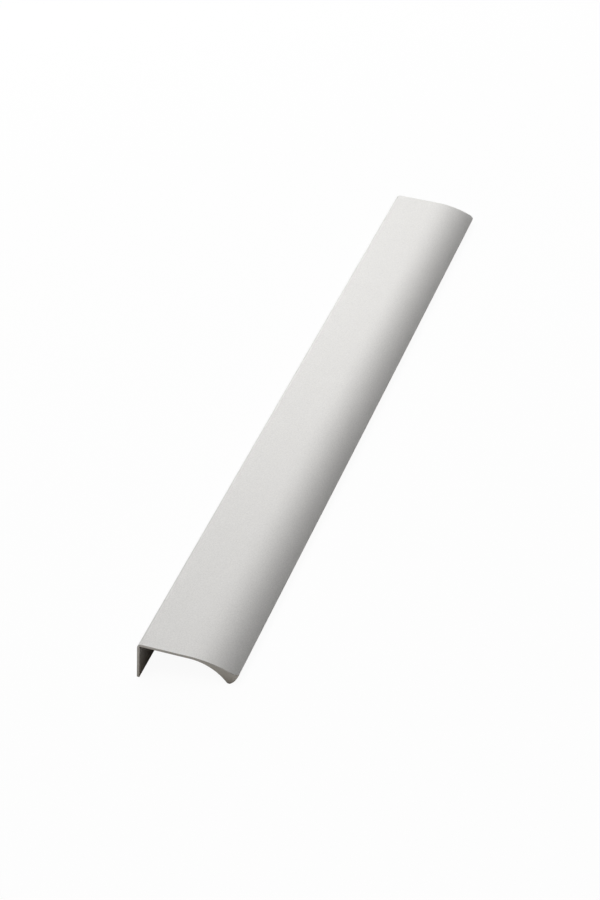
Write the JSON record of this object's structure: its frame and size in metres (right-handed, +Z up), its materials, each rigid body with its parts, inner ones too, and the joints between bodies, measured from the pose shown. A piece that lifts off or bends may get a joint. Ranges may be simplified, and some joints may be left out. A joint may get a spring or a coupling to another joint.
{
  "type": "edge pull",
  "caption": "Slim satin aluminium edge pull: flat plate with a short flange behind and a curved lip in front to hook fingers under.",
  "frame": {"origin": "centre of the bounding box at floor level, as the pull comes to rest on a level floor: on the flange's foot and the lip's tip, with the plate leaning 12.2 degrees down towards the lip", "axes": "+X along the length of the profile, -Y towards the lip, +Z up"},
  "size_m": [0.35, 0.0394, 0.015],
  "materials": {
    "anodised_aluminium": "satin"
  },
  "bodies": {
    "root": {"pull_profile": "anodised_aluminium"}
  },
  "joints": []
}
